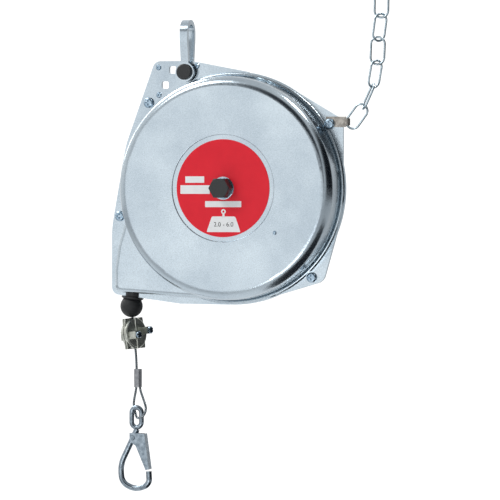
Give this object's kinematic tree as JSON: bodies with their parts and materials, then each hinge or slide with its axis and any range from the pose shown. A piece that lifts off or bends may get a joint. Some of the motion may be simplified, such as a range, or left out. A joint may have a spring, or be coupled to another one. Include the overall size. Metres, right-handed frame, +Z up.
{
  "type": "spring balancer",
  "caption": "Round pressed-steel spring balancer with top bow, tension hexagon, stop ball on a steel cable, cable clamp, snap hook and safety chain.",
  "frame": {"origin": "middle of the inner top of the suspension bow, where the overhead hook carries it", "axes": "+X to the right seen from the label side, +Y to the rear, +Z up"},
  "size_m": [0.2934, 0.086, 0.5298],
  "materials": {
    "zinc_sheet": "satin zinc plate",
    "zinc_fastener": "bright zinc plate",
    "zinc_wire": "bright zinc plate, lightly rolled",
    "clip_steel": "dull plated steel",
    "clamp_sheet": "dull zinc plate",
    "chain_steel": "bright zinc plate",
    "ferrule_metal": "pressed, dull",
    "wire_rope": "stranded",
    "bare_steel": "machined, oiled",
    "spring_steel": "blued",
    "cast_aluminium": "as cast",
    "bronze": "machined",
    "black_plastic": "fine grain",
    "black_rubber": "matte",
    "red_label": "printed film, satin"
  },
  "bodies": {
    "housing": {"front_cover": "zinc_sheet", "rear_cover": "zinc_sheet", "cover_screws": "zinc_fastener", "cover_nuts": "zinc_fastener", "plate_rivets": "zinc_fastener", "face_plug": "zinc_fastener", "hanger_pin": "zinc_fastener", "hanger_pin_caps": "black_plastic", "front_label": "red_label", "pawl_pin": "bare_steel", "cable_lead": "wire_rope", "cable_nozzle": "black_plastic", "chain_clip": "clip_steel", "arbor_bush_front": "bronze", "arbor_bush_rear": "bronze"},
    "bow": {"suspension_bow": "zinc_sheet"},
    "arbor": {"arbor": "bare_steel", "arbor_ring": "bare_steel", "tension_knob": "black_plastic", "knob_washer": "zinc_fastener", "ratchet_wheel": "bare_steel", "power_spring": "spring_steel"},
    "pawl": {"pawl": "bare_steel"},
    "drum": {"cable_drum": "cast_aluminium", "drum_lid": "cast_aluminium", "drum_lid_screws": "zinc_fastener", "cable_windings": "wire_rope", "drum_bush_front": "bronze", "drum_bush_rear": "bronze"},
    "load": {"hoist_cable": "wire_rope", "cable_eye": "wire_rope", "cable_ferrule": "ferrule_metal", "stop_ball": "black_rubber", "clamp_half_outer": "clamp_sheet", "clamp_half_inner": "clamp_sheet", "clamp_screws": "zinc_fastener", "clamp_nuts": "zinc_fastener"},
    "hook": {"snap_hook": "zinc_wire", "gate_rivet": "zinc_wire"},
    "gate": {"hook_gate": "zinc_wire"},
    "link_1": {"chain_link_1": "chain_steel"},
    "link_2": {"chain_link_2": "chain_steel"},
    "link_3": {"chain_link_3": "chain_steel"},
    "link_4": {"chain_link_4": "chain_steel"},
    "link_5": {"chain_link_5": "chain_steel"},
    "link_6": {"chain_link_6": "chain_steel"},
    "link_7": {"chain_link_7": "chain_steel"}
  },
  "joints": [
    {"name": "bow_swing", "type": "hinge", "parent": "housing", "child": "bow", "pos_m": [0, 0, -0.048], "axis": [0, 1, 0], "range_deg": [-90, 70]},
    {"name": "tension_turn", "type": "hinge", "parent": "housing", "child": "arbor", "pos_m": [0.05, 0, -0.1655], "axis": [0, 1, 0], "range_deg": [-360, 360]},
    {"name": "pawl_lift", "type": "hinge", "parent": "housing", "child": "pawl", "pos_m": [0.0814, -0.026, -0.1391], "axis": [0, 1, 0], "range_deg": [-5, 12]},
    {"name": "drum_turn", "type": "hinge", "parent": "housing", "child": "drum", "pos_m": [0.05, 0, -0.1655], "axis": [0, -1, 0], "range_deg": [0, 1202], "stiffness_Nm_per_rad": 0.05, "springref_deg": -2177.24},
    {"name": "cable_pull", "type": "slide", "parent": "housing", "child": "load", "axis": [0, 0, -1], "range_m": [0, 2]},
    {"name": "hook_swing", "type": "hinge", "parent": "load", "child": "hook", "pos_m": [-0.055, 0, -0.3981], "axis": [0, 1, 0], "range_deg": [-30, 30]},
    {"name": "gate_open", "type": "hinge", "parent": "hook", "child": "gate", "pos_m": [-0.058, 0, -0.4193], "axis": [0, 1, 0], "range_deg": [0, 24], "stiffness_Nm_per_rad": 0.05, "springref_deg": -22.92},
    {"name": "link_1_turn", "type": "hinge", "parent": "housing", "child": "link_1", "pos_m": [0.1685, 0.00015, -0.0992], "axis": [0, 0, 1], "range_deg": [-30, 30]},
    {"name": "link_2_turn", "type": "hinge", "parent": "link_1", "child": "link_2", "pos_m": [0.186, 0.00015, -0.08447], "axis": [0.7986, 0, -0.6018], "range_deg": [-30, 30]},
    {"name": "link_3_turn", "type": "hinge", "parent": "link_2", "child": "link_3", "pos_m": [0.19589, 0.00015, -0.06326], "axis": [0.4115, -0.891, -0.1919], "range_deg": [-30, 30]},
    {"name": "link_4_turn", "type": "hinge", "parent": "link_3", "child": "link_4", "pos_m": [0.19996, 0.00015, -0.04021], "axis": [0.5364, 0.8387, -0.0946], "range_deg": [-25, 25]},
    {"name": "link_5_turn", "type": "hinge", "parent": "link_4", "child": "link_5", "pos_m": [0.20098, 0.00015, -0.01684], "axis": [0.9839, 0.1736, -0.043], "range_deg": [-20, 25]},
    {"name": "link_6_turn", "type": "hinge", "parent": "link_5", "child": "link_6", "pos_m": [0.20423, 0.00015, 0.00634], "axis": [0.6365, 0.766, -0.0895], "range_deg": [-20, 25]},
    {"name": "link_7_turn", "type": "hinge", "parent": "link_6", "child": "link_7", "pos_m": [0.20464, 0.00015, 0.02973], "axis": [0.9901, 0.1392, -0.0173], "range_deg": [-30, 30]}
  ],
  "couplings": [
    {"joint": "cable_pull", "follows": "drum_turn", "m_per_rad": 0.0953}
  ]
}
